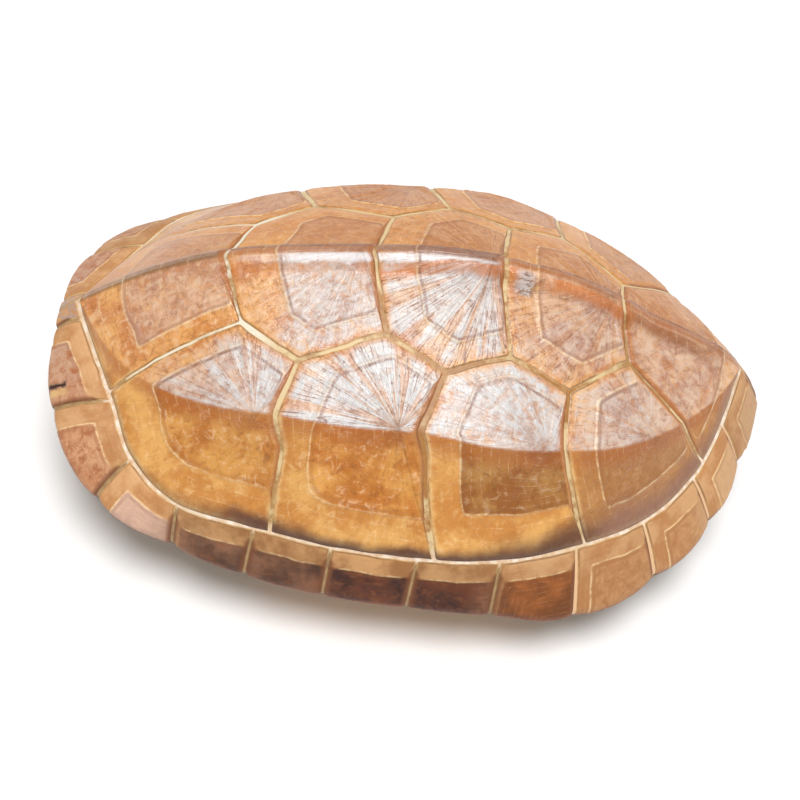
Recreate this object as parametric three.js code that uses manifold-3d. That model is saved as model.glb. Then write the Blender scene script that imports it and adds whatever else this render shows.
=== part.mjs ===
// Shell of a three-keeled pond turtle: the domed carapace and the flat plastron under it, grown
// together at the two bridges into one hollow piece. It is open at the front, for the head and
// forelimbs, and at the back, for the tail and hind limbs.
//
// Frame: millimetres, +Z up, +X towards the tail, the head end at -X, the left side at -Y.
// The origin is under the middle of the shell, on the plane that the plastron rests on.
import * as THREE from "three";
import { mergeVertices } from "three/addons/utils/BufferGeometryUtils.js";
import Module from "manifold-3d";

// Driving dimensions
const SHELL_LENGTH = 160; // nuchal edge to tail edge, straight
const WALL = 3.2; // bone and scute thickness of the carapace
const PLASTRON_THICKNESS = 3.6;
const RIM_FOLD = 1.6; // height of the rounded outer edge of the marginals
const KEEL_CREST_WIDTH = 2.6; // distance over which the median keel's crest falls away

// The landmark tables below are measured on a shell of this length, and scale with SHELL_LENGTH.
const LANDMARK_LENGTH = 160;
const SCALE = SHELL_LENGTH / LANDMARK_LENGTH;

// The outer edge, one row for each seam between marginal scutes of one side: k, x, half-width, z.
// k is 0 at the nuchal scute's seam, 1 to 11 at the next seams, and 12 at the midline of the tail.
const K_FRONT = -0.35;
const K_TAIL = 12;
const RIM = [
  [K_FRONT, -80.0, 0.0, 32.0],
  [0, -79.7, 4.0, 31.4],
  [1, -77.2, 22.6, 27.0],
  [2, -65.0, 40.1, 21.6],
  [3, -48.3, 47.6, 18.4],
  [4, -32.6, 53.0, 17.8],
  [5, -16.0, 56.0, 17.4],
  [6, 1.6, 57.0, 17.1],
  [7, 19.2, 56.8, 16.7],
  [8, 37.4, 54.4, 15.6],
  [9, 55.1, 43.4, 16.4],
  [10, 67.8, 29.4, 18.8],
  [11, 75.0, 14.6, 21.2],
  [K_TAIL, 80.0, 0.0, 25.6],
];

// The seam where the marginal scutes meet the dome, with the same k.
const DOME_SEAM = [
  [K_FRONT, -75.2, 0.0, 37.0],
  [0, -73.4, 4.0, 35.6],
  [1, -64.3, 22.8, 32.5],
  [2, -58.3, 35.1, 29.3],
  [3, -47.5, 44.4, 26.8],
  [4, -31.2, 49.0, 26.4],
  [5, -15.2, 52.2, 26.3],
  [6, 2.5, 53.0, 26.3],
  [7, 19.6, 51.7, 26.3],
  [8, 35.5, 47.0, 26.6],
  [9, 50.3, 38.4, 26.8],
  [10, 61.7, 26.0, 29.2],
  [11, 68.2, 13.5, 33.0],
  [K_TAIL, 72.8, 0.0, 36.8],
];

// Median keel: x, z. It is the shell's profile.
const KEEL = [
  [-75.2, 37.0],
  [-67, 43.2],
  [-59, 48.6],
  [-51, 53.2],
  [-43, 56.6],
  [-28, 60.0],
  [-12, 62.5],
  [3, 63.9],
  [13, 63.4],
  [21, 62.0],
  [28, 60.5],
  [34, 58.4],
  [41, 54.9],
  [49.5, 49.9],
  [61.7, 44.4],
  [68, 40.8],
  [72.8, 36.8],
];

// How far the median keel's crest stands proud of the plates: x, height.
const CREST = [
  [-75.2, 0.2],
  [-52, 1.1],
  [-22, 1.4],
  [13, 1.8],
  [28, 2.4],
  [53, 2.4],
  [64, 2.0],
  [72.8, 0.2],
];

// Lateral keels, where the top of the dome folds into its sides: x, half-width, z.
const LATERAL_KEEL = [
  [-75.2, 0.0, 37.0],
  [-68, 11.0, 37.6],
  [-60, 19.5, 38.4],
  [-52, 25.0, 40.4],
  [-40, 30.4, 43.6],
  [-28.8, 33.2, 45.8],
  [-14, 34.8, 47.4],
  [1, 35.2, 48.2],
  [16, 35.2, 47.2],
  [30, 33.8, 44.4],
  [43, 28.9, 41.8],
  [52, 23.4, 40.2],
  [61, 15.2, 38.0],
  [68, 7.5, 37.2],
  [72.8, 0.0, 36.8],
];

// The underside of the marginals: k, width of the lip inwards from the edge, rise of its inner edge.
const LIP = [
  [K_FRONT, 6.0, -0.6],
  [1, 8.5, -0.6],
  [3, 7.5, -1.5],
  [4, 5.5, -4.0],
  [6, 5.0, -5.0],
  [8, 5.5, -3.0],
  [9, 7.0, 3.0],
  [11, 7.0, 4.0],
  [K_TAIL, 7.0, 4.5],
];

// How far each marginal's edge bows out between its seams: k, bow.
const SCALLOP = [
  [K_FRONT, 0.2],
  [1, 0.8],
  [2.5, 0.8],
  [4, 0.3],
  [7, 0.3],
  [8.5, 1.3],
  [10.5, 1.3],
  [K_TAIL, 0.8],
];

// Plastron outline of one side, front to back: x, half-width. The two narrow places are the axillary
// and inguinal notches, in front of and behind the bridge.
const PLASTRON_OUTLINE = [
  [-69, 0],
  [-70, 6],
  [-69, 12],
  [-62, 18],
  [-52, 22.5],
  [-40, 26],
  [-31, 29],
  [-27.5, 33],
  [-28, 41],
  [-28.5, 48],
  [-26, 52.2],
  [-14, 53.0],
  [0, 53.8],
  [14, 53.4],
  [26, 52.0],
  [29.5, 48],
  [28.5, 40],
  [28.5, 33],
  [33, 29.5],
  [44, 28.5],
  [56, 25],
  [65, 17.5],
  [70, 10],
  [69.5, 6],
  [63.5, 0],
];
const FLAT_HALF_WIDTH = 29; // the plastron is flat inside this, and the bridges rise outside it
const BRIDGE_RISE = 14.5; // height of the bridges' outer edge over the resting plane
const FLAT_FRONT_X = -44; // in front of this the front lobe turns up
const FRONT_LOBE_RISE = 5;
const FLAT_BACK_X = 46;
const BACK_LOBE_RISE = 2.5;

// Mesh density
const COLUMNS_PER_SIDE = 38;
const DOME_RINGS = 15;
const MARGINAL_RINGS = 3;
const INNER_RINGS = 8;
const PLASTRON_RINGS = 9;
const PLASTRON_STEPS_PER_SPAN = 2;

const { sign, abs, min, max, sin, exp, hypot, PI } = Math;
const clamp01 = (t) => min(1, max(0, t));
const smooth = (t) => clamp01(t) ** 2 * (3 - 2 * clamp01(t));

// A cubic through the rows of a table, from its first column to column c, held at its ends.
function spline(table, c, at) {
  const last = table.length - 1;
  const x = min(table[last][0], max(table[0][0], at));
  let i = 0;
  while (i < last - 1 && x >= table[i + 1][0]) i += 1;
  const step = (j) => table[j + 1][0] - table[j][0];
  const rise = (j) => (table[j + 1][c] - table[j][c]) / step(j);
  const slope = (j) => {
    if (j === 0) return rise(0);
    if (j === last) return rise(last - 1);
    return (rise(j - 1) * step(j) + rise(j) * step(j - 1)) / (step(j - 1) + step(j));
  };
  const h = step(i);
  const t = (x - table[i][0]) / h;
  const start = table[i][c] * (1 + 2 * t) * (1 - t) ** 2 + slope(i) * h * t * (1 - t) ** 2;
  return start + table[i + 1][c] * t * t * (3 - 2 * t) + slope(i + 1) * h * t * t * (t - 1);
}

// A point of one of the edge curves, on the right side of the shell.
const edgePoint = (table, k) =>
  new THREE.Vector3(spline(table, 1, k), spline(table, 2, k), spline(table, 3, k));

// The dome seam again, as half-width and height for each x.
const SEAM_SAMPLES = 400;
const seamByX = Array.from({ length: SEAM_SAMPLES + 1 }, (_, i) => {
  const p = edgePoint(DOME_SEAM, K_FRONT + ((K_TAIL - K_FRONT) * i) / SEAM_SAMPLES);
  return [p.x, p.y, p.z];
});

function seamAt(x) {
  let i = 0;
  while (i < SEAM_SAMPLES - 1 && x > seamByX[i + 1][0]) i += 1;
  const [a, b] = [seamByX[i], seamByX[i + 1]];
  const t = clamp01((x - a[0]) / (b[0] - a[0]));
  return { y: max(a[1] + (b[1] - a[1]) * t, 1e-6), z: a[2] + (b[2] - a[2]) * t };
}

// Height of the dome: a nearly straight slope from keel to lateral keel, then a steep side.
function domeHeight(x, across) {
  const y = abs(across);
  const seam = seamAt(x);
  const crest = spline(CREST, 1, x);
  const top = spline(KEEL, 1, x) - crest;
  const foldY = max(min(spline(LATERAL_KEEL, 1, x), seam.y * 0.98), 1e-6);
  const foldZ = spline(LATERAL_KEEL, 2, x);
  const t = clamp01(y / foldY);
  const u = clamp01((y - foldY) / max(seam.y - foldY, 1e-6));
  const upper = top + (foldZ - top) * t + sin(PI * t) * clamp01(foldY / 30);
  const side = foldZ + (seam.z - foldZ) * (u + 0.05 * sin(PI * u));
  return (y < foldY ? upper : side) + crest * exp(-y / KEEL_CREST_WIDTH);
}

// Outward direction of the outer edge, in plan.
function edgeOutward(k) {
  const a = edgePoint(RIM, max(K_FRONT, k - 0.02));
  const b = edgePoint(RIM, min(K_TAIL, k + 0.02));
  if (k <= K_FRONT) return new THREE.Vector3(-1, 0, 0);
  if (k >= K_TAIL) return new THREE.Vector3(1, 0, 0);
  return new THREE.Vector3(a.y - b.y, b.x - a.x, 0).normalize();
}

function rimPoint(k) {
  const bow = spline(SCALLOP, 1, k) * abs(sin(PI * k)) ** 0.7;
  return edgePoint(RIM, k).addScaledVector(edgeOutward(k), k < 0 ? 0 : bow);
}

// A point of the marginals' top, from the dome seam (m = 0) to the outer edge (m = 1).
function marginalPoint(k, m) {
  const p = edgePoint(DOME_SEAM, k).lerp(rimPoint(k), m);
  p.z += 0.8 * sin(PI * m);
  return p;
}

function domePoint(k, r) {
  const p = edgePoint(DOME_SEAM, k).multiplyScalar(r);
  p.z = domeHeight(p.x, p.y);
  return p;
}

// The inside of the dome lies one wall thickness under it.
function innerDomePoint(k, r) {
  const p = domePoint(k, r);
  const d = 0.5;
  const dx = (domeHeight(p.x + d, p.y) - domeHeight(p.x - d, p.y)) / (2 * d);
  const dy = (domeHeight(p.x, p.y + d) - domeHeight(p.x, max(p.y - d, 0))) / (2 * d);
  return p.addScaledVector(new THREE.Vector3(-dx, -dy, 1).normalize(), -WALL);
}

// Closes a stack of rings, given for the right side as functions of k, between two poles.
function stackOfRings(ks, rings, firstPole, lastPole) {
  const loop = (ring) => {
    const right = ks.map(ring);
    for (const p of [right[0], right[right.length - 1]]) p.y = 0;
    const left = right.slice(1, -1).reverse();
    return [...right, ...left.map((p) => new THREE.Vector3(p.x, -p.y, p.z))];
  };
  const loops = rings.map(loop);
  const n = loops[0].length;
  const points = [firstPole, ...loops.flat(), lastPole];
  const index = [];
  const at = (ring, j) => 1 + ring * n + (j % n);
  for (let j = 0; j < n; j += 1) index.push(0, at(0, j + 1), at(0, j));
  for (let i = 0; i < loops.length - 1; i += 1)
    for (let j = 0; j < n; j += 1) {
      index.push(at(i, j), at(i, j + 1), at(i + 1, j));
      index.push(at(i, j + 1), at(i + 1, j + 1), at(i + 1, j));
    }
  const end = points.length - 1;
  for (let j = 0; j < n; j += 1) index.push(at(loops.length - 1, j), at(loops.length - 1, j + 1), end);
  const geometry = new THREE.BufferGeometry().setFromPoints(points);
  geometry.setIndex(index);
  return geometry;
}

function carapace() {
  const ks = Array.from(
    { length: COLUMNS_PER_SIDE + 1 },
    (_, j) => K_FRONT + ((K_TAIL - K_FRONT) * j) / COLUMNS_PER_SIDE,
  );
  const rings = [];
  for (let i = 1; i <= DOME_RINGS; i += 1) {
    const r = i / DOME_RINGS;
    rings.push((k) => (r < 1 ? domePoint(k, r) : edgePoint(DOME_SEAM, k)));
  }
  for (let i = 1; i <= MARGINAL_RINGS; i += 1)
    rings.push((k) => marginalPoint(k, i / MARGINAL_RINGS));
  const below = (k, inwards, drop) => {
    const p = rimPoint(k).addScaledVector(edgeOutward(k), -inwards);
    p.z += drop;
    return p;
  };
  rings.push((k) => below(k, RIM_FOLD / 2, -RIM_FOLD));
  rings.push((k) => below(k, spline(LIP, 1, k), spline(LIP, 2, k)));
  for (let i = INNER_RINGS; i >= 1; i -= 1)
    rings.push((k) => innerDomePoint(k, (0.97 * i) / INNER_RINGS));
  const apex = new THREE.Vector3(0, 0, domeHeight(0, 0));
  return stackOfRings(ks, rings, apex, new THREE.Vector3(0, 0, apex.z - WALL - 0.8));
}

// Underside of the plastron: flat in the middle, rising to the bridges and at both lobes' ends.
function plastronBottom(x, across) {
  const y = abs(across);
  const reach = PLASTRON_OUTLINE.reduce((widest, row) => max(widest, row[1]), 0);
  const bridge = BRIDGE_RISE * clamp01((y - FLAT_HALF_WIDTH) / (reach - FLAT_HALF_WIDTH)) ** 1.35;
  const front = FRONT_LOBE_RISE * smooth((FLAT_FRONT_X - x) / 40);
  const back = BACK_LOBE_RISE * smooth((x - FLAT_BACK_X) / 40);
  return bridge + front + back;
}

function plastron() {
  const spans = PLASTRON_OUTLINE.length - 1;
  const rows = PLASTRON_OUTLINE.map(([x, y], i) => [i, x, y]);
  const count = spans * PLASTRON_STEPS_PER_SPAN;
  const steps = Array.from({ length: count + 1 }, (_, i) => i / PLASTRON_STEPS_PER_SPAN);
  const outline = (s) => new THREE.Vector3(spline(rows, 1, s), spline(rows, 2, s), 0);
  const ring = (r, lift) => (s) => {
    const p = outline(s).multiplyScalar(r);
    p.z = plastronBottom(p.x, p.y) + lift;
    return p;
  };
  const rings = [];
  for (let i = 1; i <= PLASTRON_RINGS; i += 1) rings.push(ring(i / PLASTRON_RINGS, PLASTRON_THICKNESS));
  for (let i = PLASTRON_RINGS; i >= 1; i -= 1) rings.push(ring(i / PLASTRON_RINGS, 0));
  return stackOfRings(
    steps,
    rings,
    new THREE.Vector3(0, 0, PLASTRON_THICKNESS),
    new THREE.Vector3(0, 0, 0),
  );
}

// Joins the two halves at the bridges.
const wasm = await Module();
wasm.setup();

function toSolid(geometry) {
  const merged = mergeVertices(geometry, 1e-4);
  return new wasm.Manifold(
    new wasm.Mesh({
      numProp: 3,
      vertProperties: merged.getAttribute("position").array,
      triVerts: new Uint32Array(merged.index.array),
    }),
  );
}

function toGeometry(solid) {
  const { vertProperties, triVerts } = solid.getMesh();
  return new THREE.BufferGeometry()
    .setAttribute("position", new THREE.BufferAttribute(vertProperties, 3))
    .setIndex(new THREE.BufferAttribute(triVerts, 1));
}

const shell = new THREE.Mesh(
  toGeometry(toSolid(carapace()).add(toSolid(plastron()))),
  new THREE.MeshStandardMaterial({ color: 0xb8783c, roughness: 0.38, metalness: 0 }),
);
shell.name = "turtle_shell";

const group = new THREE.Group();
group.add(shell);
group.scale.setScalar(SCALE);

export default group;
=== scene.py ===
"""Shell of a three-keeled pond turtle: a bone body, with its horn scutes lying on it as closed sheets."""
import math
from itertools import product

import bpy
import numpy as np
from mathutils import Matrix, Vector


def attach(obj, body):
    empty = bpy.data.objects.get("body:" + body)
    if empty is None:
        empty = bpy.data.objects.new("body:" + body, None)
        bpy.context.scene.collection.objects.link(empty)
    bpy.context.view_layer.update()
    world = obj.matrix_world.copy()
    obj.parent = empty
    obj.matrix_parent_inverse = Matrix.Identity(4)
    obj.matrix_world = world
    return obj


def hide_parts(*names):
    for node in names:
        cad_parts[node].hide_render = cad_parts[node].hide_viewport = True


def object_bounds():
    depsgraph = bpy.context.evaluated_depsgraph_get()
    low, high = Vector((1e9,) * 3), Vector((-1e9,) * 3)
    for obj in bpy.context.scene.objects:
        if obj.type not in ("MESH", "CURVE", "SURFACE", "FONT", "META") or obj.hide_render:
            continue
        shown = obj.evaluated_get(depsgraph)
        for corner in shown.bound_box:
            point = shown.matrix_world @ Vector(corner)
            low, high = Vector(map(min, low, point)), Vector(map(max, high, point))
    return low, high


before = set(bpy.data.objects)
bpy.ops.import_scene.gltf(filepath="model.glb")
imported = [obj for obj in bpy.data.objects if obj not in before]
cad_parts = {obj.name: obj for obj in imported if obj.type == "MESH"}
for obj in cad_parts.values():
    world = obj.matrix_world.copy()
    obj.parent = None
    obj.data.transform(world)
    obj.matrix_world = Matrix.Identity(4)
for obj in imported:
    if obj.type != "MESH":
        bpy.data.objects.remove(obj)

CAD_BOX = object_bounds()
LANDMARK_LENGTH = 160.0
MM = (CAD_BOX[1].x - CAD_BOX[0].x) / LANDMARK_LENGTH  # metres for each millimetre of the tables

# ---------------------------------------------------------------- the shell's tables, in mm
# They follow the CAD solid's, with the dome seam and the lateral keels drawn a little finer.
# Outer edge: k, x, half-width, z. k counts the seams between the marginal scutes of one side.
K_FRONT, K_TAIL = -0.35, 12.0
RIM = np.array([
    (K_FRONT, -80.0, 0.0, 32.0),
    (0, -79.7, 4.0, 31.4),
    (1, -77.2, 22.6, 27.0),
    (2, -65.0, 40.1, 21.6),
    (3, -48.3, 47.6, 18.4),
    (4, -32.6, 53.0, 17.8),
    (5, -16.0, 56.0, 17.4),
    (6, 1.6, 57.0, 17.1),
    (7, 19.2, 56.8, 16.7),
    (8, 37.4, 54.4, 15.6),
    (9, 55.1, 43.4, 16.4),
    (10, 67.8, 29.4, 18.8),
    (11, 75.0, 14.6, 21.2),
    (K_TAIL, 80.0, 0.0, 25.6),
])
# The seam where the marginals meet the dome, with the same k.
DOME_SEAM = np.array([
    (K_FRONT, -75.2, 0.0, 37.0),
    (0, -73.4, 4.0, 35.6),
    (1, -64.3, 22.8, 32.5),
    (2, -58.3, 35.1, 29.3),
    (3, -47.5, 44.1, 27.3),
    (4, -31.2, 48.3, 27.7),
    (5, -15.2, 51.3, 27.9),
    (6, 2.5, 52.2, 27.7),
    (7, 19.6, 50.9, 27.8),
    (8, 35.5, 46.0, 28.4),
    (9, 50.3, 37.8, 27.8),
    (10, 61.7, 26.0, 29.2),
    (11, 68.2, 13.5, 33.0),
    (K_TAIL, 72.8, 0.0, 36.8),
])
# Profile along the median keel (x, z), and how proud its crest stands (x, height).
KEEL = np.array([
    (-75.2, 37.0), (-67, 43.2), (-59, 48.6), (-51, 53.2), (-43, 56.6), (-28, 60.0), (-12, 62.5),
    (3, 63.9), (13, 63.4), (21, 62.0), (28, 60.5), (34, 58.4), (41, 54.9), (49.5, 49.9),
    (61.7, 44.4), (68, 40.8), (72.8, 36.8),
])
CREST = np.array([
    (-75.2, 0.2), (-52, 1.1), (-22, 1.4), (13, 1.8), (28, 2.4), (53, 2.4), (64, 2.0), (72.8, 0.2),
])
CREST_SHOULDER, CREST_STEP = 1.7, 2.6  # half the width of the crest's flat, and of its step down
# Lateral keels, where the top of the dome folds into its sides: x, half-width, z.
LATERAL_KEEL = np.array([
    (-75.2, 0.0, 37.0), (-68, 11.0, 37.6), (-60, 19.5, 38.4), (-52, 25.0, 40.4),
    (-40, 30.2, 43.6), (-28.8, 32.4, 45.8), (-14, 34.8, 47.4), (1, 35.2, 48.2),
    (16, 36.2, 47.0), (30, 33.4, 44.4), (43, 28.9, 41.8), (52, 23.4, 40.2),
    (61, 15.2, 38.0), (68, 7.5, 37.2), (72.8, 0.0, 36.8),
])
KEEL_ROUND = 0.7  # half the width over which a lateral keel is rounded
# Underside of the marginals: k, width of the lip, rise of its inner edge.
LIP = np.array([
    (K_FRONT, 6.0, -0.6), (1, 8.5, -0.6), (3, 7.5, -1.5), (4, 5.5, -4.0), (6, 5.0, -5.0),
    (8, 5.5, -3.0), (9, 7.0, 3.0), (11, 7.0, 4.0), (K_TAIL, 7.0, 4.5),
])
# How far each marginal's edge bows out between its seams: k, bow.
SCALLOP = np.array([
    (K_FRONT, 0.2), (1, 0.8), (2.5, 0.8), (4, 0.3), (7, 0.3), (8.5, 1.3), (10.5, 1.3),
    (K_TAIL, 0.8),
])
WALL, RIM_FOLD, PLASTRON_THICKNESS = 3.2, 1.6, 3.6
# Plastron outline of one side, front to back: x, half-width.
PLASTRON_OUTLINE = np.array([
    (-69, 0), (-70, 6), (-69, 12), (-62, 18), (-52, 22.5), (-40, 26), (-31, 29), (-27.5, 33),
    (-28, 41), (-28.5, 48), (-26, 52.2), (-14, 53.0), (0, 53.8), (14, 53.4), (26, 52.0),
    (29.5, 48), (28.5, 40), (28.5, 33), (33, 29.5), (44, 28.5), (56, 25), (65, 17.5),
    (70, 10), (69.5, 6), (63.5, 0),
], float)
PLASTRON_ROWS = np.column_stack([np.arange(len(PLASTRON_OUTLINE)), PLASTRON_OUTLINE])
FLAT_HALF_WIDTH, BRIDGE_RISE = 29.0, 14.5
FLAT_FRONT_X, FRONT_LOBE_RISE = -44.0, 5.0
FLAT_BACK_X, BACK_LOBE_RISE = 46.0, 2.5
LOBE_RUN = 40.0

# ---------------------------------------------------------------- scute layout, right side, in mm
# Corners where three scutes meet on the dome, in plan.
V1_V2 = (-43.1, 0.0)
V2_V3 = (-12.4, 0.0)
V3_V4 = (15.1, 0.0)
V4_V5 = (42.1, 0.0)
V1_V2_C1 = (-38.0, 14.0)
C1_C2_V2 = (-25.7, 22.2)
V2_V3_C2 = (-8.4, 16.7)
C2_C3_V3 = (4.2, 23.5)
V3_V4_C3 = (17.4, 18.4)
C3_C4_V4 = (30.4, 22.1)
V4_V5_C4 = (43.9, 11.2)
# Bends of the seams between the costals, from the lateral keel down.
C1_C2_BENDS = ((-29.2, 32.2), (-27.0, 36.9), (-27.9, 42.5))
C2_C3_BENDS = ((0.0, 35.2), (1.9, 38.6), (3.3, 45.0))
C3_C4_BENDS = ((30.3, 33.2), (32.6, 37.0))
# Where the costal seams run into the dome seam, as k.
K_V1_C1, K_C1_C2, K_C2_C3, K_C3_C4, K_C4_V5 = 0.9, 4.2, 6.2, 8.12, 10.3

THIN, HALF_GAP, WIDE = 0.18, 0.28, 0.42  # half the width of the cream seam between two scutes
BODY_DEPTH = 0.42  # the bone and seam tissue lie this far under the scutes' surface
UNDER_LIFT = 0.3  # room under the plastron's surface for its relief
PLATE_DEPTH = 1.1  # thickness of a scute's plate
EDGE_DROP, EDGE_ROUND = 0.34, 0.34  # the rounded edge of a scute
STEP = 0.42  # spacing of mesh points along a scute's outline
PLASTRON_STEP = 1.1  # the same for the scutes of the plastron
RING_GROWTH = 0.75  # growth value at the pale ring that every scute shows


# ---------------------------------------------------------------- curves and noise
def smooth(t):
    t = np.clip(t, 0.0, 1.0)
    return t * t * (3.0 - 2.0 * t)


def norm(vectors):
    return np.linalg.norm(vectors, axis=-1)


def unit(vectors):
    return vectors / np.maximum(norm(vectors)[..., None], 1e-12)


def softened(loop):
    """A closed row of values or points, each mixed with its two neighbours."""
    return 0.25 * np.roll(loop, 1, axis=0) + 0.5 * loop + 0.25 * np.roll(loop, -1, axis=0)


def travelled(points):
    """Distance along each column of points, from the first row."""
    return np.cumsum(norm(np.diff(points, axis=0, prepend=points[:1])), axis=0)


def spline(table, column, at):
    """A cubic through the rows of a table, from its first column to another, held at its ends."""
    xs, ys = table[:, 0], table[:, column]
    step = np.diff(xs)
    rise = np.diff(ys) / step
    inner = (rise[:-1] * step[1:] + rise[1:] * step[:-1]) / (step[1:] + step[:-1])
    slope = np.concatenate([rise[:1], inner, rise[-1:]])
    x = np.clip(np.asarray(at, float), xs[0], xs[-1])
    i = np.clip(np.searchsorted(xs, x, side="right") - 1, 0, len(step) - 1)
    h = step[i]
    t = (x - xs[i]) / h
    start = ys[i] * (1 + 2 * t) * (1 - t) ** 2 + slope[i] * h * t * (1 - t) ** 2
    return start + ys[i + 1] * t * t * (3 - 2 * t) + slope[i + 1] * h * t * t * (t - 1)


def curve(table, k):
    return np.stack([spline(table, c, k) for c in (1, 2, 3)], axis=-1)


def lattice(ix, iy, iz):
    """A fixed pseudo-random number from 0 to 1 for each whole-numbered point."""
    h = (ix * 374761393 + iy * 668265263 + iz * 1274126177) & 0xFFFFFFFF
    h = ((h ^ (h >> 13)) * 1274126177) & 0xFFFFFFFF
    return ((h ^ (h >> 16)) & 0xFFFF) / 65535.0


def noise(points, size, seed=0):
    """Smooth noise from -1 to 1, with lumps of the given size, at points of 1 to 3 coordinates."""
    q = np.asarray(points, float) / size + 31.7 * seed + 500.0
    if q.shape[-1] < 3:
        q = np.concatenate([q, np.full(q.shape[:-1] + (3 - q.shape[-1],), 0.37 + seed)], axis=-1)
    cell = np.floor(q).astype(np.int64)
    f = smooth(q - cell)
    total = np.zeros(q.shape[:-1])
    for corner in product((0, 1), repeat=3):
        weight = np.prod([f[..., a] if c else 1 - f[..., a] for a, c in enumerate(corner)], axis=0)
        total += weight * lattice(*(cell[..., a] + c for a, c in enumerate(corner)))
    return 2.0 * total - 1.0


# ---------------------------------------------------------------- the shell's surfaces
SEAM_BY_X = curve(DOME_SEAM, np.linspace(K_FRONT, K_TAIL, 800))
FULL_BULGE_AT = 30.0  # half-width of the dome's top from which it bulges by a whole millimetre
SIDE_BULGE = 0.05  # bulge of the dome's side, as a share of its height


def seam_at(x):
    """Half-width and height of the dome seam at x."""
    return (np.interp(x, SEAM_BY_X[:, 0], SEAM_BY_X[:, column]) for column in (1, 2))


def dome_height(x, across):
    """Height of the dome: a slope from the median keel to the lateral keel, then a steep side."""
    y = np.abs(across)
    seam_y, seam_z = seam_at(x)
    seam_y = np.maximum(seam_y, 1e-6)
    crest = spline(CREST, 1, x)
    top = spline(KEEL, 1, x) - crest
    fold_y = np.maximum(np.minimum(spline(LATERAL_KEEL, 1, x), seam_y * 0.98), 1e-6)
    fold_z = spline(LATERAL_KEEL, 2, x)
    t = y / fold_y
    u = (y - fold_y) / np.maximum(seam_y - fold_y, 1e-6)
    bulge = np.sin(np.pi * np.clip(t, 0, 1)) * np.clip(fold_y / FULL_BULGE_AT, 0, 1)
    upper = top + (fold_z - top) * t + bulge
    down = np.minimum(u, 1) + SIDE_BULGE * np.sin(np.pi * np.clip(u, 0, 1))
    side = fold_z + (seam_z - fold_z) * down
    reach = np.minimum(KEEL_ROUND, 0.4 * np.minimum(fold_y, np.maximum(seam_y - fold_y, 1e-6)))
    share = smooth((y - fold_y) / (2 * reach + 1e-9) + 0.5)
    return upper * (1 - share) + side * share + crest * (
        1 - smooth((y - CREST_SHOULDER) / CREST_STEP)
    )


def off_surface(height, plan, lift, d, up=1.0):
    """Points over plan positions, lifted along the normal of a surface that is given as a height."""
    x, y = plan[..., 0], plan[..., 1]
    slope_x = (height(x + d, y) - height(x - d, y)) / (2 * d)
    slope_y = (height(x, y + d) - height(x, y - d)) / (2 * d)
    normal = unit(up * np.stack([-slope_x, -slope_y, np.ones_like(x)], axis=-1))
    return np.stack([x, y, height(x, y)], axis=-1) + np.asarray(lift)[..., None] * normal


def on_dome(plan, lift):
    return off_surface(dome_height, plan, lift, 0.2)


def plastron_height(x, across):
    """Underside of the plastron: flat in the middle, rising to the bridges and the lobes' ends."""
    y = np.abs(across)
    reach = PLASTRON_OUTLINE[:, 1].max()
    bridge = BRIDGE_RISE * np.clip((y - FLAT_HALF_WIDTH) / (reach - FLAT_HALF_WIDTH), 0, 1) ** 1.35
    front = FRONT_LOBE_RISE * smooth((FLAT_FRONT_X - x) / LOBE_RUN)
    back = BACK_LOBE_RISE * smooth((x - FLAT_BACK_X) / LOBE_RUN)
    return bridge + front + back


def under_plastron(plan, lift):
    """Points lifted downwards, with room left under them for the relief."""
    return off_surface(lambda x, y: plastron_height(x, y) + UNDER_LIFT, plan, lift, 0.3, -1.0)


def edge_outward(k):
    a = curve(RIM, np.maximum(K_FRONT, k - 0.02))
    b = curve(RIM, np.minimum(K_TAIL, k + 0.02))
    out = np.stack([a[..., 1] - b[..., 1], b[..., 0] - a[..., 0], np.zeros_like(a[..., 0])], axis=-1)
    out[k <= K_FRONT] = (-1, 0, 0)
    out[k >= K_TAIL] = (1, 0, 0)
    return unit(out)


def rim_point(k):
    bow = np.where(k < 0, 0, spline(SCALLOP, 1, k) * np.abs(np.sin(np.pi * k)) ** 0.7)
    return curve(RIM, k) + bow[..., None] * edge_outward(k)


# v runs across a marginal: over its top from 0 to 1, round the edge to 2, and under it to 3.
TOP_SHARE = 0.93  # the share of the top that is straight before the edge rounds off


def marginal_point(k, v):
    """A point on a marginal, by its place k round the edge and its place v across."""
    seam, rim, out = curve(DOME_SEAM, k), rim_point(k), edge_outward(k)
    up = np.array([0, 0, 1.0])

    def top(m):
        m = m[..., None]
        return seam + (rim - seam) * m + 0.8 * np.sin(np.pi * m) * up

    fold_end = rim - out * RIM_FOLD / 2 - up * RIM_FOLD
    lip_end = rim - out * spline(LIP, 1, k)[..., None] + spline(LIP, 2, k)[..., None] * up
    t = np.clip(v - 1, 0, 1)[..., None]
    start = top(np.full_like(v, TOP_SHARE))
    corner = rim - up * RIM_FOLD * 0.4
    around = start * (1 - t) ** 2 + 2 * corner * t * (1 - t) + fold_end * t**2
    below = fold_end + (lip_end - fold_end) * np.clip(v - 2, 0, 1)[..., None]
    above = top(np.clip(v, 0, 1) * TOP_SHARE)
    return np.where(v[..., None] <= 1, above, np.where(v[..., None] <= 2, around, below))


def grid_normals(points):
    return unit(np.cross(np.gradient(points, axis=0), np.gradient(points, axis=1)))


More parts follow.
